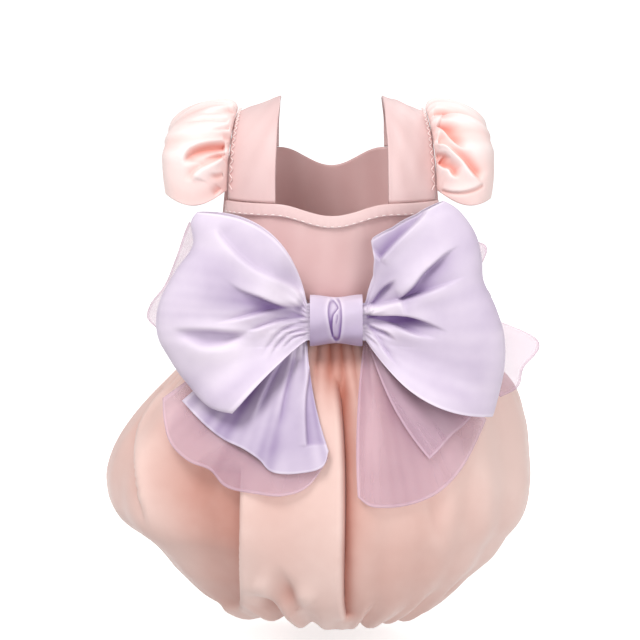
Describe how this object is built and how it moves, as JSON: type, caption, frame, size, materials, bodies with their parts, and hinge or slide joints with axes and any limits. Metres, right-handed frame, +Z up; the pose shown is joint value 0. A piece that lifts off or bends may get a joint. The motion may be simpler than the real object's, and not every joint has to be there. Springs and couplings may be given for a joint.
{
  "type": "dog dress",
  "caption": "Small dog's dress with wide shoulder straps, puff sleeves, a bubble skirt and a large bow on its back",
  "frame": {"origin": "where the dress hangs on the shoulders, midway between the tops of its two straps", "axes": "+Z up the dog's spine towards its neck, the back of the dress with its bow facing -Y, +X to the right as the back is looked at"},
  "size_m": [0.2664, 0.1846, 0.3327],
  "materials": {
    "pink_organza": "organza over satin, soft sheen",
    "pale_pink_organza": "organza over satin, soft sheen",
    "lilac_satin_organza": "crisp satin organza",
    "sheer_lilac_organza": "sheer organza"
  },
  "bodies": {
    "root": {"bodice_back": "pink_organza", "chest_panel": "pink_organza", "belly_placket": "pink_organza", "neckline_band": "pink_organza", "strap_left": "pink_organza", "strap_right": "pink_organza", "sleeve_left": "pale_pink_organza", "sleeve_right": "pale_pink_organza", "skirt_back": "pale_pink_organza", "skirt_belly": "pale_pink_organza", "bow_knot": "lilac_satin_organza", "bow_loop_left": "lilac_satin_organza", "bow_loop_right": "lilac_satin_organza", "bow_loop_right_under": "sheer_lilac_organza", "bow_tail_left": "lilac_satin_organza", "bow_tail_left_under": "sheer_lilac_organza", "bow_tail_right": "sheer_lilac_organza", "bow_back_left": "sheer_lilac_organza", "bow_back_right": "sheer_lilac_organza"}
  },
  "joints": []
}
